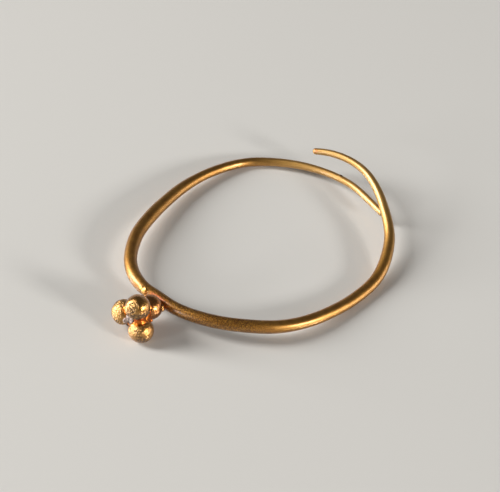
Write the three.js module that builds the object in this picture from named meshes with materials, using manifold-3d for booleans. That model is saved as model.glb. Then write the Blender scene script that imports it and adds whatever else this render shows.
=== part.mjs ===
import * as THREE from 'three'
import { mergeVertices } from 'three/addons/utils/BufferGeometryUtils.js'
import Module from 'manifold-3d'

// Gold hoop earring: one tapering wire bent round into an open hoop, and four solid
// granules soldered on its outer side as a pyramid. It lies on its side, in millimetres, +Z up.

// Hoop
const hoopRadius = 10
const hoopRise = 3
const wireDiameter = 1.1
const innerTipLength = 0.24
const outerTipLength = 0.25

// Cluster
const granuleDiameter = 1.96
const granuleGap = 0.02
const restFlatDiameter = 0.5

// Solder and residue
const solderGap = 0.02
const saddleHalfLength = 0.64
const saddleHalfWidth = 0.4
const saddleHalfDepth = 0.4
const blobRadius = 0.3
const blobHeight = 0.13
const beadRadius = 0.29
const beadHeight = 0.15
const poolRadius = 0.42
const poolThickness = 0.32
const poolReach = 0.4
const crustRadius = 0.42
const crustThickness = 0.24
const crustReach = 0.42

// The wire's route, from the inner tip round to the outer tip: the turn from +X in degrees,
// then the distance from the hoop's middle as a share of hoopRadius, the height as a share
// of hoopRise and the thickness as a share of wireDiameter.
const routeShares = [
  [21, 1.06, 0.39, 0.49],
  [30, 1.03, 0.38, 0.535],
  [45, 1.024, 0.355, 0.56],
  [60, 1.01, 0.3, 0.58],
  [75, 1.002, 0.23, 0.62],
  [90, 1.004, 0.15, 0.675],
  [100, 0.994, 0.14, 0.7],
  [110, 0.957, 0.18, 0.725],
  [125, 0.907, 0.25, 0.77],
  [140, 0.887, 0.28, 0.87],
  [155, 0.89, 0.32, 0.95],
  [170, 0.931, 0.375, 1],
  [185, 1.012, 0.425, 1],
  [200, 1.094, 0.46, 0.96],
  [209, 1.12, 0.452, 0.96],
  [217, 1.112, 0.44, 0.965],
  [224, 1.082, 0.442, 0.93],
  [235, 1.065, 0.455, 0.92],
  [250, 1.028, 0.475, 0.94],
  [265, 0.992, 0.455, 0.95],
  [280, 0.969, 0.385, 0.93],
  [295, 0.94, 0.305, 0.91],
  [310, 0.921, 0.23, 0.89],
  [325, 0.934, 0.176, 0.885],
  [340, 0.982, 0.205, 0.885],
  [350, 1.01, 0.315, 0.88],
  [365, 1.04, 0.51, 0.8],
  [380, 1.047, 0.735, 0.715],
  [390, 1.061, 0.895, 0.645],
  [400, 1.077, 0.98, 0.585],
  [410, 1.073, 0.99, 0.55],
  [420, 1.058, 0.92, 0.52],
  [428.5, 1.04, 0.8, 0.495]
]

// Where the cluster sits: a share of the wire's length, then angles in degrees. The seat
// is the inner granule's lift above level, and the cluster's axis swings and lifts from there.
// The upper granule leans out and turns a little more than a regular pyramid's would. Each
// solder collar covers its two balls from collarBore to collarSpread, off the axis they share.
const jointShare = 0.5016
const blobShare = 0.4804
const seatLift = 15.4
const clusterSwing = -2.8
const clusterLift = 1.8
const clusterSpin = 74.7
const upperLean = 4.3
const upperTurn = 3.6
const blobTurn = 41
const collarBore = 15
const collarSpread = 28

// How finely the round shapes are cut
const wireSteps = 116
const wireSides = 16
const tipSteps = 4
const granuleSides = 20
const granuleRings = 12
const collarSides = 18
const filletSteps = 5
const beadSides = 12
const beadRings = 8

const granuleRadius = granuleDiameter / 2
const granulePitch = granuleDiameter + granuleGap
const up = new THREE.Vector3(0, 0, 1)
const radians = THREE.MathUtils.degToRad

const wasm = await Module()
wasm.setup()

const gold = new THREE.MeshStandardMaterial({ color: 0xd3a34a, roughness: 0.42, metalness: 1 })
const granuleGold = new THREE.MeshStandardMaterial({ color: 0xdcae55, roughness: 0.5, metalness: 1 })
const solder = new THREE.MeshStandardMaterial({ color: 0xc67a33, roughness: 0.4, metalness: 1 })
const residue = new THREE.MeshStandardMaterial({ color: 0x8c8288, roughness: 0.9, metalness: 0 })

const earring = new THREE.Group()

// One closed skin: only positions, with the vertices that shapes share merged.
function closedGeometry(geometry) {
  geometry.deleteAttribute('normal')
  geometry.deleteAttribute('uv')
  const closed = mergeVertices(geometry)
  closed.computeVertexNormals()
  return closed
}

function addPiece(name, geometry, material) {
  const piece = new THREE.Mesh(closedGeometry(geometry), material)
  piece.name = name
  earring.add(piece)
  return piece
}

function toSolid(geometry) {
  const closed = closedGeometry(geometry.clone())
  const vertProperties = new Float32Array(closed.attributes.position.array)
  const triVerts = new Uint32Array(closed.index.array)
  return new wasm.Manifold(new wasm.Mesh({ numProp: 3, vertProperties, triVerts }))
}

function fromSolid(solid) {
  const { vertProperties, triVerts } = solid.getMesh()
  const geometry = new THREE.BufferGeometry()
  geometry.setAttribute('position', new THREE.BufferAttribute(vertProperties, 3))
  geometry.setIndex(new THREE.BufferAttribute(triVerts, 1))
  return geometry
}

// A geometry made along +Y, turned to run along a direction and moved to a place.
function aimed(geometry, place, direction) {
  const turn = new THREE.Quaternion().setFromUnitVectors(new THREE.Vector3(0, 1, 0), direction)
  return geometry.applyQuaternion(turn).translate(place.x, place.y, place.z)
}

function ballGeometry(radius, place) {
  return new THREE.SphereGeometry(radius, beadSides, beadRings).translate(place.x, place.y, place.z)
}

// Hoop wire: a tapering round bar with rounded tips, turned straight and then bent.

function routePoint([turn, reachShare, riseShare]) {
  const reach = hoopRadius * reachShare
  const angle = radians(turn)
  return new THREE.Vector3(reach * Math.cos(angle), reach * Math.sin(angle), hoopRise * riseShare)
}

const route = new THREE.CatmullRomCurve3(routeShares.map(routePoint), false, 'centripetal')
const girth = new THREE.SplineCurve(routeShares.map((row, index) => new THREE.Vector2(index, row[3])))
const wireLength = route.getLength()

function wireRadiusAt(share) {
  return wireDiameter / 2 * girth.getPoint(route.getUtoTmapping(share)).y
}

// The way out of the hoop and the way up, both square to the wire.
function wireFrameAt(share) {
  const along = route.getTangentAt(share)
  const outward = new THREE.Vector3().crossVectors(along, up).normalize()
  const upward = new THREE.Vector3().crossVectors(outward, along)
  return { along, outward, upward }
}

// The bar's outline: at each end the radius follows a quarter of an ellipse.
function wireOutline(growth) {
  const bodyLength = wireLength - innerTipLength - outerTipLength
  const stations = []
  for (let step = 0; step < tipSteps; step++) {
    const angle = Math.PI / 2 * step / tipSteps
    stations.push([innerTipLength * (1 - Math.cos(angle)), Math.sin(angle)])
  }
  for (let step = 0; step <= wireSteps; step++) {
    stations.push([innerTipLength + bodyLength * step / wireSteps, 1])
  }
  for (let step = tipSteps - 1; step >= 0; step--) {
    const angle = Math.PI / 2 * step / tipSteps
    stations.push([wireLength - outerTipLength * (1 - Math.cos(angle)), Math.sin(angle)])
  }
  return stations.map(([along, fullness]) => {
    const radius = (wireRadiusAt(along / wireLength) + growth) * fullness
    return new THREE.Vector2(radius, along)
  })
}

function wireGeometry(growth) {
  const geometry = new THREE.LatheGeometry(wireOutline(growth), wireSides)
  const positions = geometry.attributes.position
  const vertex = new THREE.Vector3()
  for (let index = 0; index < positions.count; index++) {
    vertex.fromBufferAttribute(positions, index)
    const share = THREE.MathUtils.clamp(vertex.y / wireLength, 0, 1)
    const { outward, upward } = wireFrameAt(share)
    const bent = route.getPointAt(share)
    bent.addScaledVector(outward, vertex.x)
    bent.addScaledVector(upward, vertex.z)
    positions.setXYZ(index, bent.x, bent.y, bent.z)
  }
  return geometry
}

addPiece('hoop_wire', wireGeometry(0), gold)

// Granules: the inner one seats on the wire, and the other three stand on it as a pyramid.

// A level direction out of the hoop, swung round and lifted.
function clusterDirection(swing, lift) {
  const outward = wireFrameAt(jointShare).outward.clone().setZ(0).normalize()
  outward.applyAxisAngle(up, radians(swing))
  const side = new THREE.Vector3().crossVectors(outward, up)
  return outward.applyAxisAngle(side, radians(lift))
}

const joint = route.getPointAt(jointShare)
const jointRadius = wireRadiusAt(jointShare)
const seatDirection = clusterDirection(0, seatLift)
const innerPlace = joint.clone().addScaledVector(seatDirection, jointRadius + solderGap + granuleRadius)

// Three balls on one: each centre leans from the cluster's axis by a regular pyramid's angle.
const pyramidLean = Math.asin(1 / Math.sqrt(3))

function outerPlace(order, extraLean, extraTurn) {
  const axis = clusterDirection(clusterSwing, clusterLift)
  const side = new THREE.Vector3().crossVectors(up, axis).normalize()
  const rise = new THREE.Vector3().crossVectors(axis, side)
  const lean = pyramidLean + radians(extraLean)
  const spin = radians(clusterSpin + extraTurn) + order * Math.PI * 2 / 3
  const away = side.multiplyScalar(Math.cos(spin)).addScaledVector(rise, Math.sin(spin))
  const direction = axis.multiplyScalar(Math.cos(lean)).addScaledVector(away, Math.sin(lean))
  return innerPlace.clone().addScaledVector(direction, granulePitch)
}

const places = {
  inner: innerPlace,
  upper: outerPlace(0, upperLean, upperTurn),
  outer: outerPlace(1, 0, 0),
  lower: outerPlace(2, 0, 0)
}

// A ball, with a small worn flat underneath where it stands on a surface.
function granuleGeometry(flatRadius) {
  const start = Math.asin(flatRadius / granuleRadius)
  const outline = []
  if (flatRadius > 0) {
    outline.push(new THREE.Vector2(0, -granuleRadius * Math.cos(start)))
  }
  for (let ring = 0; ring <= granuleRings; ring++) {
    const angle = start + (Math.PI - start) * ring / granuleRings
    const radius = ring === granuleRings ? 0 : granuleRadius * Math.sin(angle)
    outline.push(new THREE.Vector2(radius, -granuleRadius * Math.cos(angle)))
  }
  return new THREE.LatheGeometry(outline, granuleSides).rotateX(Math.PI / 2)
}

for (const [name, place] of Object.entries(places)) {
  const flatRadius = name === 'lower' ? restFlatDiameter / 2 : 0
  const granule = addPiece(`granule_${name}`, granuleGeometry(flatRadius), granuleGold)
  granule.position.copy(place)
}

// Solder collars: a ring in the crevice round each place where two granules meet, narrowest
// at its waist, where a fillet touches both balls.

const seatRadius = granuleRadius + solderGap

// The fillet's middle and radius, for balls whose centres lie halfSpan above and below.
function collarFillet(halfSpan) {
  const distance = halfSpan * Math.tan(radians(collarSpread))
  return { distance, radius: Math.hypot(halfSpan, distance) - seatRadius }
}

// The collar's outline. The growth thickens the ring on every side except its bore, for
// cutting what lies on it.
function collarGeometry(halfSpan, growth) {
  const fillet = collarFillet(halfSpan)
  const ballRadius = seatRadius - growth
  const filletRadius = fillet.radius - growth
  const filletAngle = Math.atan2(halfSpan, fillet.distance)
  const boreRadius = seatRadius * Math.sin(radians(collarBore))
  const boreAngle = Math.acos(boreRadius / ballRadius)
  const outline = []
  for (let step = 0; step <= filletSteps; step++) {
    const angle = filletAngle * (2 * step / filletSteps - 1)
    const radius = fillet.distance - filletRadius * Math.cos(angle)
    outline.push(new THREE.Vector2(radius, filletRadius * Math.sin(angle)))
  }
  for (const side of [1, -1]) {
    for (let step = 1; step < filletSteps; step++) {
      const share = side > 0 ? step / (filletSteps - 1) : 1 - step / (filletSteps - 1)
      const angle = filletAngle + (boreAngle - filletAngle) * share
      const radius = ballRadius * Math.cos(angle)
      outline.push(new THREE.Vector2(radius, side * (halfSpan - ballRadius * Math.sin(angle))))
    }
  }
  outline.push(outline[0].clone())
  return new THREE.LatheGeometry(outline, collarSides)
}

function collarBetween(first, second, growth) {
  const middle = first.clone().add(second).divideScalar(2)
  const direction = second.clone().sub(first).normalize()
  return aimed(collarGeometry(first.distanceTo(second) / 2, growth), middle, direction)
}

const contacts = [
  ['inner', 'upper'],
  ['inner', 'outer'],
  ['inner', 'lower'],
  ['upper', 'outer'],
  ['upper', 'lower'],
  ['outer', 'lower']
]

for (const [first, second] of contacts) {
  const geometry = collarBetween(places[first], places[second], 0)
  addPiece(`solder_collar_${first}_${second}`, geometry, solder)
}

// Solder saddle: the fill round the seat, longest along the wire, cut clear of the wire and of
// the inner granule.

const wireCutter = toSolid(wireGeometry(solderGap))

function granuleCutter(place) {
  const ball = new THREE.SphereGeometry(seatRadius, granuleSides * 2, granuleRings * 2)
  return toSolid(ball.translate(place.x, place.y, place.z))
}

const seat = joint.clone().addScaledVector(seatDirection, jointRadius)
const saddleAlong = new THREE.Vector3().crossVectors(seatDirection, up).normalize()
const saddleAcross = new THREE.Vector3().crossVectors(saddleAlong, seatDirection)
const saddleBlank = new THREE.SphereGeometry(saddleHalfLength, collarSides, granuleRings)
saddleBlank.scale(1, saddleHalfDepth / saddleHalfLength, saddleHalfWidth / saddleHalfLength)
saddleBlank.applyMatrix4(new THREE.Matrix4().makeBasis(saddleAlong, seatDirection, saddleAcross))
const saddle = toSolid(saddleBlank.translate(seat.x, seat.y, seat.z))
addPiece('solder_saddle', fromSolid(saddle.subtract(wireCutter).subtract(granuleCutter(innerPlace))), solder)

// Solder blob: a low dome on top of the wire, a little before the joint.

const blobFrame = wireFrameAt(blobShare)
const blobDirection = blobFrame.outward.clone().multiplyScalar(Math.cos(radians(blobTurn)))
blobDirection.addScaledVector(blobFrame.upward, Math.sin(radians(blobTurn)))
const blobPlace = route.getPointAt(blobShare).addScaledVector(blobDirection, wireRadiusAt(blobShare))
const blobBlank = new THREE.SphereGeometry(blobRadius, collarSides, granuleRings)
blobBlank.scale(1, blobHeight / blobRadius, 1)
const blob = toSolid(aimed(blobBlank, blobPlace, blobDirection))
addPiece('solder_blob', fromSolid(blob.subtract(wireCutter)), solder)

// Beads: one is a dome on the inner granule, as far past the joint as a ball of its height
// would rest against granule and wire. It is cut clear of both. The other bead fills the
// crevice between the inner and the lower granule, on the side away from the outer one.

const restReach = granuleRadius + solderGap + beadHeight
const restDrop = granuleRadius - beadHeight
const restAdvance = Math.sqrt(restReach ** 2 - restDrop ** 2)
const beadDirection = seatDirection.clone().multiplyScalar(-restDrop)
beadDirection.addScaledVector(wireFrameAt(jointShare).along, restAdvance).normalize()
const beadPlace = innerPlace.clone().addScaledVector(beadDirection, granuleRadius)
const beadBlank = new THREE.SphereGeometry(beadRadius, collarSides, granuleRings)
beadBlank.scale(1, beadHeight / beadRadius, 1)
const bead = toSolid(aimed(beadBlank, beadPlace, beadDirection))
addPiece('solder_bead', fromSolid(bead.subtract(wireCutter).subtract(granuleCutter(innerPlace))), solder)

const creviceMiddle = places.inner.clone().add(places.lower).divideScalar(2)
const creviceAxis = places.lower.clone().sub(places.inner).normalize()
const creviceOut = creviceMiddle.clone().sub(places.outer).projectOnPlane(creviceAxis).normalize()
const creviceFillet = collarFillet(granulePitch / 2)
const crevicePlace = creviceMiddle.addScaledVector(creviceOut, creviceFillet.distance)
addPiece('crevice_bead', ballGeometry(creviceFillet.radius - solderGap, crevicePlace), solder)

// Pockets: a lens in the hollow between three granules, on the side away from the fourth, cut
// clear of the balls and of the collars between them. One pocket holds a pool of solder, and
// the one between the three outer granules a crust of grime.

function pocketLens(names, farName, { radius, thickness, reach }) {
  const middle = new THREE.Vector3()
  for (const name of names) {
    middle.addScaledVector(places[name], 1 / names.length)
  }
  const axis = middle.clone().sub(places[farName]).normalize()
  const blank = new THREE.SphereGeometry(radius, collarSides, granuleRings)
  blank.scale(1, thickness / 2 / radius, 1)
  let lens = toSolid(aimed(blank, middle.addScaledVector(axis, reach), axis))
  for (const name of names) {
    lens = lens.subtract(granuleCutter(places[name]))
  }
  for (const [first, second] of contacts) {
    if (names.includes(first) && names.includes(second)) {
      lens = lens.subtract(toSolid(collarBetween(places[first], places[second], solderGap)))
    }
  }
  return fromSolid(lens)
}

const pool = { radius: poolRadius, thickness: poolThickness, reach: poolReach }
addPiece('solder_pool', pocketLens(['inner', 'upper', 'lower'], 'outer', pool), solder)

const crust = { radius: crustRadius, thickness: crustThickness, reach: crustReach }
addPiece('residue_crust', pocketLens(['upper', 'outer', 'lower'], 'inner', crust), residue)

// The origin is under the middle of the part, on the surface that it lies on.
const box = new THREE.Box3().setFromObject(earring)
const middle = box.getCenter(new THREE.Vector3())
earring.position.set(-middle.x, -middle.y, -box.min.z)

export default earring
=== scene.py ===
import math

import bmesh
import bpy
from mathutils import Matrix, Vector, noise


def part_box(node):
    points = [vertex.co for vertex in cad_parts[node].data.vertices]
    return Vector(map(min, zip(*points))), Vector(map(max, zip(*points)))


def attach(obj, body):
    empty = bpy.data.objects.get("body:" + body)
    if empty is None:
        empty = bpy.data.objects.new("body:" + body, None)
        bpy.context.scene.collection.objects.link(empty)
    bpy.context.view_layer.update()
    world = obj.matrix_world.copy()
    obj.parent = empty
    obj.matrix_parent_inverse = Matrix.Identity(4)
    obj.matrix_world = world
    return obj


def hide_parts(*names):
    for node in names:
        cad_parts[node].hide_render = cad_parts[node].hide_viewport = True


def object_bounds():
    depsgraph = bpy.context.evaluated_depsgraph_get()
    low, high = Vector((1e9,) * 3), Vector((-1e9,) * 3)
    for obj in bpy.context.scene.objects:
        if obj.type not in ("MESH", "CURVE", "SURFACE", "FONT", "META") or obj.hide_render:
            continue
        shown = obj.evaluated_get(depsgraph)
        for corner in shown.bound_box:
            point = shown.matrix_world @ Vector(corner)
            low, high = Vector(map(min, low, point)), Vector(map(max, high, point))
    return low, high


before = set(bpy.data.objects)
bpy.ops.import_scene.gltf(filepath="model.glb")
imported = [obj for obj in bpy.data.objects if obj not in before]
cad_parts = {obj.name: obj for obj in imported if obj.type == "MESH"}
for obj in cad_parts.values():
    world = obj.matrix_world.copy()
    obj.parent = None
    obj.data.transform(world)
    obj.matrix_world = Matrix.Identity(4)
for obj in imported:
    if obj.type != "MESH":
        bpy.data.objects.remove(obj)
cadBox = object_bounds()
print("frame loaded:", len(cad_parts), "nodes")

# Shapes are worked in millimetres and brought to metres when they are finished.
mm = 0.001
scene = bpy.context.scene
scene.view_settings.view_transform = "Standard"


# The camera, in millimetres and degrees.
picture = {
    "lookAt": (-0.7421, 0.8196, -0.0264),  # the spot of the floor at the middle of the picture
    "distance": 130.6,
    "elevation": 45,
    "roll": 4.3,
    "lens": 115.2,
    "sensor": 36,
    "nearest": 2,
    "farthest": 9000,
}


def aimedMatrix(place, forward, rollDegrees=0):  # -Z looks forward, as on a camera or a lamp
    right = forward.cross(Vector((0, 0, 1))).normalized()
    up = right.cross(forward)
    roll = math.radians(rollDegrees)
    turnedRight = right * math.cos(roll) + up * math.sin(roll)
    turnedUp = up * math.cos(roll) - right * math.sin(roll)
    axes = Matrix((turnedRight, turnedUp, -forward)).transposed()
    return Matrix.Translation(place) @ axes.to_4x4()


def addCamera():
    lens = bpy.data.cameras.new("pictureCamera")
    lens.lens = picture["lens"]
    lens.sensor_width = picture["sensor"]
    lens.sensor_fit = "HORIZONTAL"
    lens.clip_start = picture["nearest"] * mm
    lens.clip_end = picture["farthest"] * mm
    camera = bpy.data.objects.new("pictureCamera", lens)
    scene.collection.objects.link(camera)
    slope = math.radians(picture["elevation"])
    forward = Vector((0, math.cos(slope), -math.sin(slope)))
    place = (Vector(picture["lookAt"]) - forward * picture["distance"]) * mm
    camera.matrix_world = aimedMatrix(place, forward, picture["roll"])
    scene.camera = camera


addCamera()

# Four soft boxes and a dim room, placed by the highlights on the balls: a broad one on the
# left, a small one in front on the right with a weak one beside it, and a low one in front
# on the left.
softBoxes = {
    "broadBox": {"towards": (-0.88, 0.08, 0.47), "distance": 570, "size": (170, 430), "watts": 4.5},
    "narrowBox": {"towards": (0.79, -0.51, 0.33), "distance": 570, "size": (110, 85), "watts": 1.8},
    "sideBox": {"towards": (0.98, -0.06, 0.16), "distance": 570, "size": (330, 110), "watts": 0.4},
    "lowBox": {"towards": (-0.77, -0.59, 0.24), "distance": 570, "size": (130, 100), "watts": 0.75},
}
room = {"colour": "#f2f0ed", "strength": 0.07}


def linearColour(hexCode):  # sRGB hex to the linear colour that the sockets take
    shares = [int(hexCode[start:start + 2], 16) / 255 for start in (1, 3, 5)]
    return [s / 12.92 if s <= 0.04045 else ((s + 0.055) / 1.055) ** 2.4 for s in shares] + [1]


def addNode(tree, kind, settings=None, values=None, links=None):
    node = tree.nodes.new("ShaderNode" + kind)
    for name, setting in (settings or {}).items():
        setattr(node, name, setting)
    for socket, value in (values or {}).items():
        node.inputs[socket].default_value = value
    for socket, source in (links or {}).items():
        tree.links.new(source, node.inputs[socket])
    return node


def addLights():
    for name, box in softBoxes.items():
        lamp = bpy.data.lights.new(name, "AREA")
        lamp.shape = "RECTANGLE"
        lamp.size, lamp.size_y = (side * mm for side in box["size"])
        lamp.energy = box["watts"]
        light = bpy.data.objects.new(name, lamp)
        scene.collection.objects.link(light)
        light.visible_camera = False
        towards = Vector(box["towards"]).normalized()
        light.matrix_world = aimedMatrix(towards * box["distance"] * mm, -towards)
    world = bpy.data.worlds.new("studioRoom")
    world.use_nodes = True
    background = world.node_tree.nodes["Background"]
    background.inputs["Color"].default_value = linearColour(room["colour"])
    background.inputs["Strength"].default_value = room["strength"]
    scene.world = world


addLights()
print("camera and soft boxes placed")


def newMaterial(name, constants):
    material = bpy.data.materials.new(name)
    material.use_nodes = True
    shader = material.node_tree.nodes["Principled BSDF"]
    for socket, value in constants.items():
        shader.inputs[socket].default_value = value
    return material, material.node_tree, shader


def perMillimetre(size):  # the texture scale that gives a pattern this many millimetres across
    return 1 / (size * mm)


# Burnished gold wire: hammered and rubbed smooth, so its satin skin draws long highlights.
# A stretch at the front stayed dull and grainy, with fine marks across it, and a thin coat of
# wax whitens the glints. Near both tips the finish is rubbed satin and the colour is paler,
# a painted sheen.
burnishedWire = {
    "pale": "#e8ae50",
    "deep": "#98590f",
    # paler champagne colour near both tips: a painted sheen
    "rubbedAndSheen": "#c99c55",
    "heated": "#c4642a",
    "grime": "#4a2a0f",
    "toneSize": 0.55,
    "grainSize": 0.09,
    "speckRange": (0.42, 0.62),  # of the grain, from a speck of dirt to bare metal
    "speckShare": 0.85,
    "speckPower": 2,  # keeps the specks to the dullest stretch
    "pitSize": 0.16,
    "pitRange": (0.05, 0.3),
    "streakWidth": 0.07,  # real burnishing lines are too fine to show, so these are coarser
    "streakStretch": 0.05,  # long lines along the wire
    "markSize": 0.22,
    "markStretch": 0.12,  # short marks across it
    "smooth": 0.38,
    "dull": 0.54,
    "grainHeight": 0.01,
    "streakHeight": 0.002,
    "markHeight": 0.03,
}


def makeBurnishedWire():
    look = burnishedWire
    material, tree, shader = newMaterial("burnishedGoldWire", {
        "Metallic": 1,
        "Coat Weight": 1,
        "Coat Roughness": 0.3,
    })
    place = addNode(tree, "TexCoord").outputs["Object"]
    tone = addNode(tree, "TexNoise", values={
        "Scale": perMillimetre(look["toneSize"]), "Detail": 5, "Roughness": 0.6}, links={"Vector": place})
    grain = addNode(tree, "TexNoise", values={
        "Scale": perMillimetre(look["grainSize"]), "Detail": 2, "Roughness": 0.6}, links={"Vector": place})
    pits = addNode(tree, "TexVoronoi", values={"Scale": perMillimetre(look["pitSize"])},
                   links={"Vector": place})
    pitStart, pitEnd = look["pitRange"]
    pitDirtAndShade = addNode(tree, "MapRange", values={"From Min": pitStart, "From Max": pitEnd},
                     links={"Value": pits.outputs["Distance"]})
    route = addNode(tree, "Attribute", {"attribute_name": "wireRoute"})
    stretched = addNode(tree, "Mapping", values={"Scale": (look["streakStretch"], 1, 1)},
                        links={"Vector": route.outputs["Vector"]})
    streaks = addNode(tree, "TexNoise", values={
        "Scale": 1 / look["streakWidth"], "Detail": 2}, links={"Vector": stretched.outputs["Vector"]})
    widened = addNode(tree, "Mapping", values={"Scale": (1, look["markStretch"], look["markStretch"])},
                      links={"Vector": route.outputs["Vector"]})
    marks = addNode(tree, "TexNoise", values={
        "Scale": 1 / look["markSize"], "Detail": 2}, links={"Vector": widened.outputs["Vector"]})
    heat = addNode(tree, "Attribute", {"attribute_name": "heated"})
    dull = addNode(tree, "Attribute", {"attribute_name": "dulled"})
    rubAndSheen = addNode(tree, "Attribute", {"attribute_name": "rubbedAndSheen"})
    satin = addNode(tree, "Math", {"operation": "MAXIMUM"}, links={
        0: dull.outputs["Fac"], 1: rubAndSheen.outputs["Fac"]})
    grime = addNode(tree, "Attribute", {"attribute_name": "grimed"})
    golden = addNode(tree, "MixRGB", values={
        "Color1": linearColour(look["deep"]), "Color2": linearColour(look["pale"])},
        links={"Fac": tone.outputs["Fac"]})
    # near the tips the colour turns paler: a painted sheen
    paled = addNode(tree, "MixRGB", values={"Color2": linearColour(look["rubbedAndSheen"])},
                    links={"Fac": rubAndSheen.outputs["Fac"], "Color1": golden.outputs["Color"]})
    warmed = addNode(tree, "MixRGB", values={"Color2": linearColour(look["heated"])},
                     links={"Fac": heat.outputs["Fac"], "Color1": paled.outputs["Color"]})
    speckStart, speckEnd = look["speckRange"]
    specks = addNode(tree, "MapRange", values={
        "From Min": speckStart, "From Max": speckEnd, "To Min": look["speckShare"], "To Max": 0},
        links={"Value": grain.outputs["Fac"]})
    dustiness = addNode(tree, "Math", {"operation": "POWER"}, values={1: look["speckPower"]}, links={
        0: dull.outputs["Fac"]})
    dusted = addNode(tree, "Math", {"operation": "MULTIPLY"}, links={
        0: specks.outputs["Result"], 1: dustiness.outputs["Value"]})
    dirty = addNode(tree, "Math", {"operation": "ADD", "use_clamp": True}, links={
        0: dusted.outputs["Value"], 1: grime.outputs["Fac"]})
    grimed = addNode(tree, "MixRGB", values={"Color2": linearColour(look["grime"])},
                     links={"Fac": dirty.outputs["Value"], "Color1": warmed.outputs["Color"]})
    rough = addNode(tree, "MapRange", values={"To Min": look["smooth"], "To Max": look["dull"]},
                    links={"Value": satin.outputs["Value"]})
    streakBump = addNode(tree, "Bump", values={"Distance": look["streakHeight"] * mm},
                         links={"Height": streaks.outputs["Fac"]})
    markBump = addNode(tree, "Bump", values={"Distance": look["markHeight"] * mm},
                       links={"Height": marks.outputs["Fac"], "Normal": streakBump.outputs["Normal"],
                              "Strength": dull.outputs["Fac"]})
    pitBump = addNode(tree, "Bump", values={"Distance": look["grainHeight"] * mm},
                      links={"Height": pitDirtAndShade.outputs["Result"], "Normal": markBump.outputs["Normal"],
                             "Strength": dull.outputs["Fac"]})
    grainBump = addNode(tree, "Bump", values={"Distance": look["grainHeight"] * mm},
                        links={"Height": grain.outputs["Fac"], "Normal": pitBump.outputs["Normal"],
                               "Strength": dull.outputs["Fac"]})
    tree.links.new(grimed.outputs["Color"], shader.inputs["Base Color"])
    tree.links.new(rough.outputs["Result"], shader.inputs["Roughness"])
    tree.links.new(grainBump.outputs["Normal"], shader.inputs["Normal"])
    return material


# Granulated gold: balls that were melted on charcoal, so the skin froze in fine wrinkles.
# It is glossier than the wire, with brown dirt left in the pits and creases and painted shade
# on the undersides; the worn patches are paler, partly wear and partly a painted highlight.
granulatedGold = {
    "pale": "#d79a44",
    "deep": "#ae6f28",
    "tinted": "#c66b2b",
    # paler colour of the worn patches: partly wear, partly a painted highlight on the lit side
    "scuffedAndHighlight": "#e6b76a",
    "scuffAndHighlightShare": 0.6,
    # dark brown: dirt in the pits and creases, and painted shade on the undersides of the balls
    "grime": "#36200f",
    "toneSize": 0.4,
    "grainSize": 0.08,
    "smooth": 0.24,
    "worn": 0.38,
    "grainHeight": 0.012,
}


def makeGranulatedGold():
    look = granulatedGold
    material, tree, shader = newMaterial("granulatedGold", {
        "Metallic": 1,
        "Coat Weight": 1,
        "Coat Roughness": 0.22,
    })
    place = addNode(tree, "TexCoord").outputs["Object"]
    tone = addNode(tree, "TexNoise", values={
        "Scale": perMillimetre(look["toneSize"]), "Detail": 4, "Roughness": 0.65}, links={"Vector": place})
    grain = addNode(tree, "TexNoise", values={
        "Scale": perMillimetre(look["grainSize"]), "Detail": 2}, links={"Vector": place})
    pits = addNode(tree, "Attribute", {"attribute_name": "pitDirtAndShade"})
    tint = addNode(tree, "Attribute", {"attribute_name": "heated"})
    wear = addNode(tree, "Attribute", {"attribute_name": "worn"})
    golden = addNode(tree, "MixRGB", values={
        "Color1": linearColour(look["deep"]), "Color2": linearColour(look["pale"])},
        links={"Fac": tone.outputs["Fac"]})
    # worn patches turn paler: partly wear, partly a painted highlight
    scuffAndHighlight = addNode(tree, "Math", {"operation": "MULTIPLY"}, values={1: look["scuffAndHighlightShare"]}, links={
        0: wear.outputs["Fac"]})
    paled = addNode(tree, "MixRGB", values={"Color2": linearColour(look["scuffedAndHighlight"])},
                    links={"Fac": scuffAndHighlight.outputs["Value"], "Color1": golden.outputs["Color"]})
    warmed = addNode(tree, "MixRGB", values={"Color2": linearColour(look["tinted"])},
                     links={"Fac": tint.outputs["Fac"], "Color1": paled.outputs["Color"]})
    # darker where the mask says: dirt in pits and creases, painted shade under the balls
    grimed = addNode(tree, "MixRGB", values={"Color2": linearColour(look["grime"])},
                     links={"Fac": pits.outputs["Fac"], "Color1": warmed.outputs["Color"]})
    rough = addNode(tree, "MapRange", values={"To Min": look["smooth"], "To Max": look["worn"]},
                    links={"Value": wear.outputs["Fac"]})
    bump = addNode(tree, "Bump", values={"Distance": look["grainHeight"] * mm},
                   links={"Height": grain.outputs["Fac"]})
    tree.links.new(grimed.outputs["Color"], shader.inputs["Base Color"])
    tree.links.new(rough.outputs["Result"], shader.inputs["Roughness"])
    tree.links.new(bump.outputs["Normal"], shader.inputs["Normal"])
    return material


# Copper-rich gold solder: it ran between the pieces and froze smooth, so it is the reddest
# metal here and has no wrinkles.
copperySolder = {
    "pale": "#de842f",
    "deep": "#bd5c1b",
    "toneSize": 0.35,
    "grainSize": 0.07,
    "grainHeight": 0.004,
}


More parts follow.
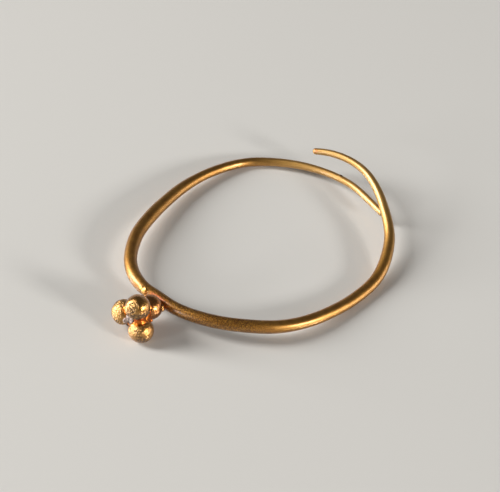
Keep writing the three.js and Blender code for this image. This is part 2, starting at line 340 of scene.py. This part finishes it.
def makeCopperySolder():
    look = copperySolder
    material, tree, shader = newMaterial("copperyGoldSolder", {
        "Metallic": 1,
        "Roughness": 0.3,
        "Coat Weight": 0.15,
        "Coat Roughness": 0.15,
    })
    place = addNode(tree, "TexCoord").outputs["Object"]
    tone = addNode(tree, "TexNoise", values={
        "Scale": perMillimetre(look["toneSize"]), "Detail": 3}, links={"Vector": place})
    grain = addNode(tree, "TexNoise", values={
        "Scale": perMillimetre(look["grainSize"]), "Detail": 2}, links={"Vector": place})
    warm = addNode(tree, "MixRGB", values={
        "Color1": linearColour(look["deep"]), "Color2": linearColour(look["pale"])},
        links={"Fac": tone.outputs["Fac"]})
    bump = addNode(tree, "Bump", values={"Distance": look["grainHeight"] * mm},
                   links={"Height": grain.outputs["Fac"]})
    tree.links.new(warm.outputs["Color"], shader.inputs["Base Color"])
    tree.links.new(bump.outputs["Normal"], shader.inputs["Normal"])
    return material


# Burial crust: grey and lilac grime that dried in the hollow, so it is dull and crumbly.
burialCrust = {
    "pale": "#d2bcb0",
    "dark": "#574c43",
    "speckSize": 0.13,
    "speckRange": (0.38, 0.58),
    "grainSize": 0.05,
    "grainHeight": 0.012,
}


def makeBurialCrust():
    look = burialCrust
    material, tree, shader = newMaterial("burialCrust", {"Roughness": 0.88})
    place = addNode(tree, "TexCoord").outputs["Object"]
    specks = addNode(tree, "TexNoise", values={
        "Scale": perMillimetre(look["speckSize"]), "Detail": 3}, links={"Vector": place})
    speckStart, speckEnd = look["speckRange"]
    split = addNode(tree, "MapRange", values={"From Min": speckStart, "From Max": speckEnd},
                    links={"Value": specks.outputs["Fac"]})
    grain = addNode(tree, "TexNoise", values={
        "Scale": perMillimetre(look["grainSize"]), "Detail": 2}, links={"Vector": place})
    mottled = addNode(tree, "MixRGB", values={
        "Color1": linearColour(look["dark"]), "Color2": linearColour(look["pale"])},
        links={"Fac": split.outputs["Result"]})
    bump = addNode(tree, "Bump", values={"Distance": look["grainHeight"] * mm},
                   links={"Height": grain.outputs["Fac"]})
    tree.links.new(mottled.outputs["Color"], shader.inputs["Base Color"])
    tree.links.new(bump.outputs["Normal"], shader.inputs["Normal"])
    return material


# Pale card: lacquered board. The camera sees it matt, so it takes a soft shadow, and the gold
# sees it polished, which doubles each highlight. From fadeStart outwards the camera and the
# reflections see its own colour unshaded, so the background is pale from low angles too.
paleCard = {
    "colour": "#d8d5cf",
    "polish": 0.05,
    "fibreSize": 0.5,  # real fibres are finer and would not show
    "fibreHeight": 0.004,
    "fadeStart": 35,
    "fadeEnd": 110,
    "farStrength": 0.87,
}


def makePaleCard():
    colour = linearColour(paleCard["colour"])
    material, tree, polished = newMaterial("paleCard", {
        "Base Color": colour,
        "Roughness": paleCard["polish"],
        "Coat Weight": 1,
        "Coat Roughness": paleCard["polish"],
    })
    place = addNode(tree, "TexCoord").outputs["Object"]
    fibre = addNode(tree, "TexNoise", values={
        "Scale": perMillimetre(paleCard["fibreSize"])}, links={"Vector": place})
    bump = addNode(tree, "Bump", values={"Distance": paleCard["fibreHeight"] * mm},
                   links={"Height": fibre.outputs["Fac"]})
    matt = addNode(tree, "BsdfDiffuse", values={"Color": colour}, links={"Normal": bump.outputs["Normal"]})
    far = addNode(tree, "VectorMath", {"operation": "LENGTH"}, links={0: place})
    fade = addNode(tree, "MapRange", values={
        "From Min": paleCard["fadeStart"] * mm, "From Max": paleCard["fadeEnd"] * mm},
        links={"Value": far.outputs["Value"]})
    unshaded = addNode(tree, "Emission", values={"Color": colour, "Strength": paleCard["farStrength"]})
    ray = addNode(tree, "LightPath")
    near = addNode(tree, "MixShader", links={
        "Fac": ray.outputs["Is Camera Ray"], 1: polished.outputs["BSDF"], 2: matt.outputs["BSDF"]})
    mirrored = addNode(tree, "Math", {"operation": "MAXIMUM"}, links={
        0: ray.outputs["Is Glossy Ray"], 1: ray.outputs["Is Transmission Ray"]})
    watched = addNode(tree, "Math", {"operation": "MAXIMUM"}, links={
        0: ray.outputs["Is Camera Ray"], 1: mirrored.outputs["Value"]})
    farShare = addNode(tree, "Math", {"operation": "MULTIPLY"}, links={
        0: fade.outputs["Result"], 1: watched.outputs["Value"]})
    shown = addNode(tree, "MixShader", links={
        "Fac": farShare.outputs["Value"], 1: near.outputs["Shader"], 2: unshaded.outputs["Emission"]})
    tree.links.new(bump.outputs["Normal"], polished.inputs["Normal"])
    tree.links.new(shown.outputs["Shader"], tree.nodes["Material Output"].inputs["Surface"])
    return material


wireGold = makeBurnishedWire()
granuleGold = makeGranulatedGold()
solderGold = makeCopperySolder()
crustGrime = makeBurialCrust()
print("materials made")


def cadShape(nodeName):  # a CAD node's merged copy, in millimetres
    shape = bmesh.new()
    shape.from_mesh(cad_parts[nodeName].data)
    bmesh.ops.scale(shape, vec=(1 / mm,) * 3, verts=shape.verts)
    bmesh.ops.remove_doubles(shape, verts=shape.verts, dist=0.0002)
    return shape


def nodeMiddle(nodeName):
    lowest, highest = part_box(nodeName)
    return (lowest + highest) / 2 / mm


def withModifier(shape, kind, settings):
    mesh = bpy.data.meshes.new("blank")
    shape.to_mesh(mesh)
    shape.free()
    blank = bpy.data.objects.new("blank", mesh)
    scene.collection.objects.link(blank)
    modifier = blank.modifiers.new(kind, kind)
    for name, setting in settings.items():
        setattr(modifier, name, setting)
    made = bmesh.new()
    made.from_object(blank, bpy.context.evaluated_depsgraph_get())
    bpy.data.objects.remove(blank)
    bpy.data.meshes.remove(mesh)
    return made


def finishPiece(shape, name, material, nodeNames):
    lowest, highest = (corner / mm for corner in cadBox)
    for vertex in shape.verts:
        vertex.co = [min(max(vertex.co[axis], lowest[axis]), highest[axis]) for axis in range(3)]
    bmesh.ops.scale(shape, vec=(mm,) * 3, verts=shape.verts)
    for face in shape.faces:
        face.smooth = True
    mesh = bpy.data.meshes.new(name)
    shape.to_mesh(mesh)
    shape.free()
    mesh.materials.append(material)
    piece = bpy.data.objects.new(name, mesh)
    scene.collection.objects.link(piece)
    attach(piece, "root")
    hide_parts(*nodeNames)
    print(name, "made:", len(mesh.polygons), "faces")
    return piece


def eased(value, start, end):  # 0 before start, 1 past end, smooth between
    share = min(max((value - start) / (end - start), 0), 1)
    return share * share * (3 - 2 * share)


# The wire: the solid bar smoothed, with hammered flats, dents, a burr and the traces of heat.
hoopWire = {
    "node": "hoop_wire",
    "joinAngle": 0.17,  # in radians, for turning triangles back to four-sided faces
    "tipEdges": 8,  # the middle point of a tip has more edges than this
    "smoothLevels": 2,
    "fill": 1.03,  # smoothing thins the 16-sided bar by this much
    "longEdge": 0.09,
    "flatCount": 6,  # the hammer left soft flats round the wire
    "flatDepth": 0.005,
    "flatVary": (0.6, 0.8, 3),  # mean share of the depth, how far it varies and over what length
    "flatDrift": 0.35,
    "dents": [(1.9, 0.010), (0.5, 0.004)],  # size, depth
    "swells": [((-8.64, -6.613, 1.63), 0.32, 0.05), ((-8.918, -6.383, 1.633), 0.22, 0.03)],  # under the lumps
    "burrPlace": (6.48, 8.71, 1.29),
    "burrSize": 0.13,
    "burrHeight": 0.08,
    "burrGrime": 1.3,
    "mostGrime": 0.95,
    "dullTurns": (168, 236, 262, 290),  # the dull stretch round the hoop, in degrees from +X
    "leastDull": 0.28,
    "rubbedAndSheenEnds": (8, 16),  # how far from each tip the rubbed satin finish and the painted paler sheen reach and fade
    "heatReach": (0.04, 0.7),
    "heatWave": (0.12, 0.3),  # how far its edge wavers, and the size of the waves
    "heatShare": 0.8,
    "stainReach": (0.5, 1.1),  # full inside the first, gone past the second
    "stainWave": (0.3, 0.25),
    "stains": [  # orange solder films: place, half length, half width, strength
        ((-7.55, -7.3, 1.66), 1.0, 0.3, 0.95),
        ((-9.5, -5.91, 1.4), 0.42, 0.36, 0.2),
        ((4.19, 10.07, 2.64), 0.24, 0.24, 0.5),
    ],
}


def ringsFrom(pole):  # the rings of the bar, one after another from a tip
    rings, seen = [[pole]], {pole}
    while rings[-1]:
        ring = []
        for vertex in rings[-1]:
            for edge in vertex.link_edges:
                other = edge.other_vert(vertex)
                if other not in seen:
                    seen.add(other)
                    ring.append(other)
        rings.append(ring)
    return rings[:-1]


def makeHoopWire():
    shape = cadShape(hoopWire["node"])
    bmesh.ops.join_triangles(shape, faces=shape.faces, angle_face_threshold=hoopWire["joinAngle"],
                             angle_shape_threshold=math.pi)
    centreOf = shape.verts.layers.float_vector.new("wireCentre")
    alongOf = shape.verts.layers.float.new("wireAlong")
    poles = [v for v in shape.verts if len(v.link_edges) > hoopWire["tipEdges"]]
    pole = min(poles, key=lambda v: v.co.z)
    travelled, previous = 0, pole.co.copy()
    for ring in ringsFrom(pole):
        centre = sum((v.co for v in ring), Vector()) / len(ring)
        travelled += (centre - previous).length
        previous = centre
        for vertex in ring:
            vertex[centreOf] = centre
            vertex[alongOf] = travelled
    wireEnd = travelled
    levels = hoopWire["smoothLevels"]
    shape = withModifier(shape, "SUBSURF", {"levels": levels, "render_levels": levels})
    longEdges = [e for e in shape.edges if e.calc_length() > hoopWire["longEdge"]]
    bmesh.ops.subdivide_edges(shape, edges=longEdges, cuts=1, use_grid_fill=True)
    centreOf = shape.verts.layers.float_vector["wireCentre"]
    alongOf = shape.verts.layers.float["wireAlong"]
    routeOf = shape.verts.layers.float_vector.new("wireRoute")
    heatOf = shape.verts.layers.float.new("heated")
    dullOf = shape.verts.layers.float.new("dulled")
    rubAndSheenOf = shape.verts.layers.float.new("rubbedAndSheen")
    grimeOf = shape.verts.layers.float.new("grimed")
    granule = nodeMiddle("granule_inner")
    granuleRadius = ballRadius()
    burr = Vector(hoopWire["burrPlace"])
    wireLine = jointFrame()[2]
    flatMean, flatVary, flatLength = hoopWire["flatVary"]
    heatWave, heatWaveSize = hoopWire["heatWave"]
    stainWave, stainWaveSize = hoopWire["stainWave"]
    for vertex in shape.verts:
        centre, along = vertex[centreOf], vertex[alongOf]
        spoke = (vertex.co - centre) * hoopWire["fill"]
        radius = spoke.length
        outward = Vector((centre.x, centre.y, 0)).normalized()
        angle = math.atan2(spoke.z, spoke.dot(outward))
        place = centre + spoke
        drift = noise.noise(Vector((along * hoopWire["flatDrift"], 0, 0))) * math.pi
        flats = math.cos(hoopWire["flatCount"] * angle + drift)
        push = flats * hoopWire["flatDepth"] * (flatMean + flatVary * noise.noise(place / flatLength))
        for size, depth in hoopWire["dents"]:
            push += noise.noise(place / size) * depth
        burrShare = math.exp(-((place - burr).length / hoopWire["burrSize"]) ** 2)
        push += hoopWire["burrHeight"] * burrShare
        for swellPlace, size, height in hoopWire["swells"]:
            push += height * math.exp(-((place - Vector(swellPlace)).length / size) ** 2)
        if radius > 0:
            place += spoke / radius * push
        vertex.co = place
        vertex[routeOf] = (along, radius * math.cos(angle), radius * math.sin(angle))
        gap = (place - granule).length - granuleRadius + heatWave * noise.noise(place / heatWaveSize)
        near, far = hoopWire["heatReach"]
        heat = hoopWire["heatShare"] * (1 - eased(gap, near, far))
        for stainPlace, halfLength, halfWidth, strength in hoopWire["stains"]:
            offset = place - Vector(stainPlace)
            onLine = offset.dot(wireLine)
            offLine = (offset - wireLine * onLine).length
            reach = math.hypot(onLine / halfLength, offLine / halfWidth)
            reach += stainWave * noise.noise(place / stainWaveSize)
            heat = max(heat, strength * (1 - eased(reach, *hoopWire["stainReach"])))
        vertex[heatOf] = heat
        turn = math.degrees(math.atan2(centre.y, centre.x)) % 360
        start, full, fading, end = hoopWire["dullTurns"]
        dullShare = eased(turn, start, full) * (1 - eased(turn, fading, end))
        vertex[dullOf] = hoopWire["leastDull"] + (1 - hoopWire["leastDull"]) * dullShare
        near, far = hoopWire["rubbedAndSheenEnds"]
        # near the tips: rubbed satin roughness, and a paler colour that is painted sheen
        vertex[rubAndSheenOf] = 1 - eased(along, near, far) * eased(wireEnd - along, near, far)
        vertex[grimeOf] = min(hoopWire["burrGrime"] * burrShare, hoopWire["mostGrime"])
    return finishPiece(shape, "hoopWire", wireGold, [hoopWire["node"]])


# The skin that all the balls share: sizes and depths are in millimetres, the rest are shares.
granuleSkin = {
    "detail": 7,  # how often the ball's faces are split
    "swell": 1.004,
    "lumpSize": 0.9,  # a little out of round
    "lumpDepth": 0.03,
    "bumpSize": 0.12,
    "bumpDepth": 0.018,
    "leastBumpy": 0.1,
    "bumpFractal": (0.8, 2.1, 3),  # how fast the finer bumps fade, how much finer each, how many
    "wearRange": (0.08, 1.5),
    "wearWave": (0.5, 0.8),  # how far the wear varies, and over what size
    "scarCore": 0.4,  # the share of a scar's reach that is at full strength
    "dirtAndShadeWave": (0.8, 0.9, 0.14),  # mean share of the dirt and painted shade, how far it varies and over what size
    "bend": (0.12, 0.35),  # how far the wrinkles are bent, and over what size
    "wrinkleSize": 0.15,
    "wrinkleWidth": 0.2,  # a wrinkle runs where the noise stays below this
    "wrinkleDepth": 0.022,
    "wrinkleDirt": 0.5,
    "pitSpacing": 0.13,
    "pitBend": 0.5,
    "pitEdge": (0.1, 0.5),  # in pit spacings from its middle
    "pitPatch": 0.23,  # the size of the patches that hold pits
    "patchEdge": (-0.2, 0.1),  # a patch fills with pits between these noise values
    "crowding": (0.5, 0.9),  # wear above the second number adds pits, at the first rate
    "pitWear": (0.5, 1.1),  # no pits below the first wear, all above the second
    "pitDepth": 0.045,
    "mostDirtAndShade": 0.95,
    "seamHeat": 0.85,
    "seamReach": (26, 46),  # in degrees from the line to the next ball
    "seamWave": (9, 0.3),  # in degrees, and the size of the waves
}
granules = {  # a scar is its direction from the ball's middle, its reach, its wear and its dirt, which on the undersides is painted shade
    "granuleInner": {"node": "granule_inner", "seed": 3, "wrinkled": 0.3, "heated": 0.45,
                     "scars": [((0.2, -0.9, -0.35), 0.9, 0.2, 0.4)]},
    "granuleUpper": {"node": "granule_upper", "seed": 11, "wrinkled": 0.25, "heated": 0.05,
                     "scars": [((-0.31, -0.65, 0.69), 0.58, 1.3, 0.1),
                               ((-0.3, -0.95, -0.1), 0.8, 0.4, 0.6),
                               ((0.4, -0.88, -0.27), 0.8, 0.3, 0.8)]},
    "granuleOuter": {"node": "granule_outer", "seed": 23, "wrinkled": 0.6, "heated": 0.05,
                     "scars": [((-0.565, -0.547, 0.613), 0.9, 0.3, 0),
                               ((0, -0.93, -0.35), 0.8, 0.2, 0.3)]},
    "granuleLower": {"node": "granule_lower", "seed": 37, "wrinkled": 0.45, "heated": 0.1,
                     "scars": [((-0.6, -0.6, 0.53), 1.1, 0.55, 0),
                               ((0.05, -0.95, -0.3), 0.9, 0.3, 0.65)]},
}
contacts = [("inner", "upper"), ("inner", "outer"), ("inner", "lower"),
            ("upper", "outer"), ("upper", "lower"), ("outer", "lower")]


def ballRadius():
    lowest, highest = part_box("granule_inner")
    return (highest.x - lowest.x) / 2 / mm


def ballMiddle(nodeName):  # the lower ball is flat underneath, so it is measured from its top
    middle = nodeMiddle(nodeName)
    middle.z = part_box(nodeName)[1].z / mm - ballRadius()
    return middle


def makeGranule(name, granule):
    skin = granuleSkin
    radius, middle = ballRadius() * skin["swell"], ballMiddle(granule["node"])
    others = [ballMiddle(other["node"]) for other in granules.values() if other is not granule]
    shape = bmesh.new()
    bmesh.ops.create_icosphere(shape, subdivisions=skin["detail"], radius=1)
    pitDirtAndShadeOf = shape.verts.layers.float.new("pitDirtAndShade")
    heatOf = shape.verts.layers.float.new("heated")
    wornOf = shape.verts.layers.float.new("worn")
    shift = Vector((granule["seed"], 0, 0))
    noise.seed_set(granule["seed"])  # noise_vector would differ from run to run without it
    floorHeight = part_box(granule["node"])[0].z / mm
    leastWorn, mostWorn = skin["wearRange"]
    wearWave, wearSize = skin["wearWave"]
    dirtAndShadeMean, dirtAndShadeVary, dirtAndShadeSize = skin["dirtAndShadeWave"]
    bendDepth, bendSize = skin["bend"]
    crowding, crowdedFrom = skin["crowding"]
    seamWave, seamSize = skin["seamWave"]
    for vertex in shape.verts:
        direction = vertex.co.normalized()
        place = direction * radius
        worn = granule["wrinkled"] + wearWave * noise.noise(place / wearSize + shift)
        # darkening from the scars: painted shade on the undersides, a little dirt in the upper ball's cracks
        dirtAndShade = 0
        for scarDirection, reach, strength, soiledAndShaded in granule["scars"]:
            distance = (direction - Vector(scarDirection).normalized()).length
            within = 1 - eased(distance, reach * skin["scarCore"], reach)
            worn += strength * within
            dirtAndShade = max(dirtAndShade, soiledAndShaded * within)
        dirtAndShade *= dirtAndShadeMean + dirtAndShadeVary * noise.noise(place / dirtAndShadeSize + shift)
        worn = min(max(worn, leastWorn), mostWorn)
        vertex[wornOf] = min(worn, 1)
        bend = noise.noise_vector(place / bendSize + shift) * bendDepth
        ridge = abs(noise.noise((place + bend) / skin["wrinkleSize"] + shift))
        crease = (1 - eased(ridge, 0, skin["wrinkleWidth"])) * worn
        nearest = noise.voronoi((place + bend * skin["pitBend"]) / skin["pitSpacing"] + shift)[0][0]
        chosen = noise.noise(place / skin["pitPatch"] - shift) + crowding * max(worn - crowdedFrom, 0)
        pit = (1 - eased(nearest, *skin["pitEdge"])) * eased(chosen, *skin["patchEdge"])
        pit *= eased(worn, *skin["pitWear"])
        push = noise.noise(place / skin["lumpSize"] + shift) * skin["lumpDepth"]
        bumpy = skin["bumpDepth"] * (skin["leastBumpy"] + worn)
        push += noise.fractal(place / skin["bumpSize"] - shift, *skin["bumpFractal"]) * bumpy
        push -= crease * skin["wrinkleDepth"] + pit * skin["pitDepth"]
        # pits and creases get dirt, and the undersides get painted shade
        dirty = skin["mostDirtAndShade"] * pit + skin["wrinkleDirt"] * crease * worn + max(dirtAndShade, 0)
        vertex[pitDirtAndShadeOf] = min(dirty, skin["mostDirtAndShade"])
        vertex.co = middle + direction * (radius + push)
        vertex.co.z = max(vertex.co.z, floorHeight)
        heat = granule["heated"]
        for other in others:
            towards = (other - middle).normalized()
            fromAxis = math.degrees(direction.angle(towards))
            fromAxis += seamWave * noise.noise(place / seamSize)
            heat = max(heat, skin["seamHeat"] * (1 - eased(fromAxis, *skin["seamReach"])))
        vertex[heatOf] = heat
    return finishPiece(shape, name, granuleGold, [granule["node"]])


# Solder: fillets, pools and beads that are grown together and smoothed as one flood.
clusterSolder = {
    "seed": 5,
    "waist": 0.47,  # of the fillet between two balls
    "wideWaist": 0.5,  # the flood stands thicker between the upper and the lower ball
    "bore": 0.12,
    "filletSteps": 8,
    "sides": 48,
    "voxel": 0.024,
    "smoothPasses": 6,
    "sink": 0.006,  # the fillet's edge lies this deep under the skin of a ball
    "poolGrowth": 0.07,
    "rippleSize": 0.25,
    "rippleDepth": 0.016,
}
jointSolder = {
    "seed": 9,
    "saddle": (0.64, 0.36, 0.26),  # half length along the wire, half width, half thickness
    "voxel": 0.022,
    "smoothPasses": 5,
    "rippleSize": 0.2,
    "rippleDepth": 0.014,
}
jointBead = {
    "seed": 21,
    "lobes": [((-0.11, 0.09, 0.09), 0.23), ((-0.04, -0.02, -0.08), 0.2)],  # from the bead's middle, radius
    "voxel": 0.02,
    "smoothPasses": 3,
    "rippleSize": 0.15,
    "rippleDepth": 0.01,
}
wireLumps = {
    "seed": 17,
    "lumps": [  # place, radius, height
        ((-8.64, -6.613, 1.63), 0.29, 0.11),
        ((-8.918, -6.383, 1.633), 0.19, 0.07),
    ],
    "outward": (-0.48, -0.58, 0.66),  # the way out of the wire where they sit
    "voxel": 0.02,
    "smoothPasses": 4,
    "rippleSize": 0.15,
    "rippleDepth": 0.012,
}


def addBall(shape, place, radius):
    made = bmesh.ops.create_icosphere(shape, subdivisions=4, radius=radius)
    bmesh.ops.translate(shape, vec=place, verts=made["verts"])


def addLens(shape, place, axes):  # a ball stretched along three square directions
    made = bmesh.ops.create_icosphere(shape, subdivisions=5, radius=1)
    stretch = Matrix(axes).transposed().to_4x4()
    bmesh.ops.transform(shape, matrix=Matrix.Translation(place) @ stretch, verts=made["verts"])


def jointFrame():  # the inner ball's seat, and the ways from ball to wire, along the wire and across it
    ball = ballMiddle("granule_inner")
    inward = (nodeMiddle("solder_saddle") - ball).normalized()
    along = Vector((0, 0, 1)).cross(-inward).normalized()
    return ball + inward * ballRadius(), inward, along, inward.cross(along)


def addFillet(shape, first, second, waist):  # a ring in the crevice between two balls, spun round their axis
    look = clusterSolder
    ball = ballRadius() * granuleSkin["swell"] - look["sink"]
    half = (second - first).length / 2
    radius = (waist ** 2 + half ** 2 - ball ** 2) / 2 / (ball - waist)
    reach = waist + radius
    widest = math.atan2(half, reach)
    profile = []
    for step in range(look["filletSteps"] + 1):
        angle = widest * (2 * step / look["filletSteps"] - 1)
        out = reach - radius * math.cos(angle)
        profile.append(shape.verts.new((out, 0, radius * math.sin(angle))))
    profile.append(shape.verts.new((look["bore"], 0, profile[-1].co.z)))
    profile.append(shape.verts.new((look["bore"], 0, profile[0].co.z)))
    edges = [shape.edges.new(pair) for pair in zip(profile, profile[1:] + profile[:1])]
    bmesh.ops.spin(shape, geom=profile + edges, cent=(0, 0, 0), axis=(0, 0, 1),
                   angle=math.tau, steps=look["sides"], use_merge=True)


def turnTo(direction):
    return direction.to_track_quat("Z", "Y").to_matrix().to_4x4()


def appendShape(whole, part):
    mesh = bpy.data.meshes.new("blank")
    part.to_mesh(mesh)
    part.free()
    whole.from_mesh(mesh)
    bpy.data.meshes.remove(mesh)


def grownNode(nodeName, growth):
    shape = cadShape(nodeName)
    shape.normal_update()
    normals = {v: v.normal.copy() for v in shape.verts}
    for vertex, normal in normals.items():
        vertex.co += normal * growth
    return shape


def floodSkin(shape, look):
    bmesh.ops.recalc_face_normals(shape, faces=shape.faces)
    shape = withModifier(shape, "REMESH", {"mode": "VOXEL", "voxel_size": look["voxel"]})
    for _ in range(look["smoothPasses"]):
        bmesh.ops.smooth_vert(shape, verts=shape.verts, factor=0.5,
                              use_axis_x=True, use_axis_y=True, use_axis_z=True)
    shape.normal_update()
    shift = Vector((look["seed"], 0, 0))
    pushes = {v: v.normal * look["rippleDepth"] * noise.noise(v.co / look["rippleSize"] + shift)
              for v in shape.verts}
    for vertex, push in pushes.items():
        vertex.co += push
    return shape


def makeClusterSolder():
    look = clusterSolder
    flood = bmesh.new()
    for first, second in contacts:
        start, end = ballMiddle("granule_" + first), ballMiddle("granule_" + second)
        ring = bmesh.new()
        wide = (first, second) == ("upper", "lower")
        addFillet(ring, start, end, look["wideWaist"] if wide else look["waist"])
        bmesh.ops.transform(ring, matrix=Matrix.Translation((start + end) / 2) @ turnTo(end - start),
                            verts=ring.verts)
        appendShape(flood, ring)
    appendShape(flood, grownNode("solder_pool", look["poolGrowth"]))
    lowest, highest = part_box("crevice_bead")
    addBall(flood, nodeMiddle("crevice_bead"), (highest.x - lowest.x) / 2 / mm)
    flood = floodSkin(flood, look)
    nodes = ["solder_collar_" + first + "_" + second for first, second in contacts]
    return finishPiece(flood, "clusterSolder", solderGold, nodes + ["solder_pool", "crevice_bead"])


def makeJointSolder():
    look = jointSolder
    flood = bmesh.new()
    seat, inward, along, across = jointFrame()
    halfLength, halfWidth, halfThickness = look["saddle"]
    addLens(flood, seat, (along * halfLength, across * halfWidth, inward * halfThickness))
    flood = floodSkin(flood, look)
    return finishPiece(flood, "jointSolder", solderGold, ["solder_saddle"])


def makeJointBead():
    bead = bmesh.new()
    for offset, radius in jointBead["lobes"]:
        addBall(bead, nodeMiddle("solder_bead") + Vector(offset), radius)
    bead = floodSkin(bead, jointBead)
    return finishPiece(bead, "jointBead", granuleGold, ["solder_bead"])


def makeWireLumps():
    look = wireLumps
    flood = bmesh.new()
    out = Vector(look["outward"]).normalized()
    side = out.cross(jointFrame()[2]).normalized()
    for place, radius, height in look["lumps"]:
        addLens(flood, Vector(place), (out * height, side * radius, out.cross(side) * radius))
    flood = floodSkin(flood, look)
    return finishPiece(flood, "wireLumps", wireGold, ["solder_blob"])


# Crust in the hollow between the three outer balls.
crustLump = {
    "node": "residue_crust",
    "seed": 13,
    "growth": 0.05,
    "voxel": 0.022,
    "smoothPasses": 2,
    "rippleSize": 0.12,
    "rippleDepth": 0.05,
    "spills": [  # place and radius of each, over the solder between the outer and the lower ball
        ((-9.3, -9.78, 1.42), 0.26),
        ((-9.76, -9.68, 1.54), 0.27),
        ((-9.6, -9.57, 1.11), 0.25),
    ],
}


def makeCrust():
    crust = grownNode(crustLump["node"], crustLump["growth"])
    for place, radius in crustLump["spills"]:
        addBall(crust, place, radius)
    crust = floodSkin(crust, crustLump)
    return finishPiece(crust, "burialCrust", crustGrime, [crustLump["node"]])


# The floor: a round sheet of card whose rim curls up, so that it is the backdrop from every side.
floorCard = {"radius": 2100, "rimHeight": 450, "rimWidth": 480, "rimSteps": 8, "sides": 96}


def makeFloor():
    shape = bmesh.new()
    bmesh.ops.create_circle(shape, cap_ends=False, segments=floorCard["sides"], radius=floorCard["radius"])
    inner = list(shape.edges)
    steps = floorCard["rimSteps"]
    for step in range(steps):
        angle = math.pi / 2 * (step + 1) / steps
        made = bmesh.ops.extrude_edge_only(shape, edges=inner)
        rim = [v for v in made["geom"] if isinstance(v, bmesh.types.BMVert)]
        inner = [e for e in made["geom"] if isinstance(e, bmesh.types.BMEdge)]
        reach = floorCard["radius"] + floorCard["rimWidth"] * math.sin(angle)
        height = floorCard["rimHeight"] * (1 - math.cos(angle))
        for vertex in rim:
            flat = Vector((vertex.co.x, vertex.co.y, 0)).normalized() * reach
            vertex.co = (flat.x, flat.y, height)
    bmesh.ops.contextual_create(shape, geom=[e for e in shape.edges if e.is_boundary
                                             and e.verts[0].co.z == 0])
    bmesh.ops.scale(shape, vec=(mm,) * 3, verts=shape.verts)
    bmesh.ops.recalc_face_normals(shape, faces=shape.faces)
    for face in shape.faces:
        face.smooth = len(face.verts) == 4
    mesh = bpy.data.meshes.new("studioFloor")
    shape.to_mesh(mesh)
    shape.free()
    mesh.materials.append(makePaleCard())
    floor = bpy.data.objects.new("studioFloor", mesh)
    scene.collection.objects.link(floor)
    print("floor laid")


makeHoopWire()
for granuleName, granuleFacts in granules.items():
    makeGranule(granuleName, granuleFacts)
makeClusterSolder()
makeJointSolder()
makeJointBead()
makeWireLumps()
makeCrust()
makeFloor()
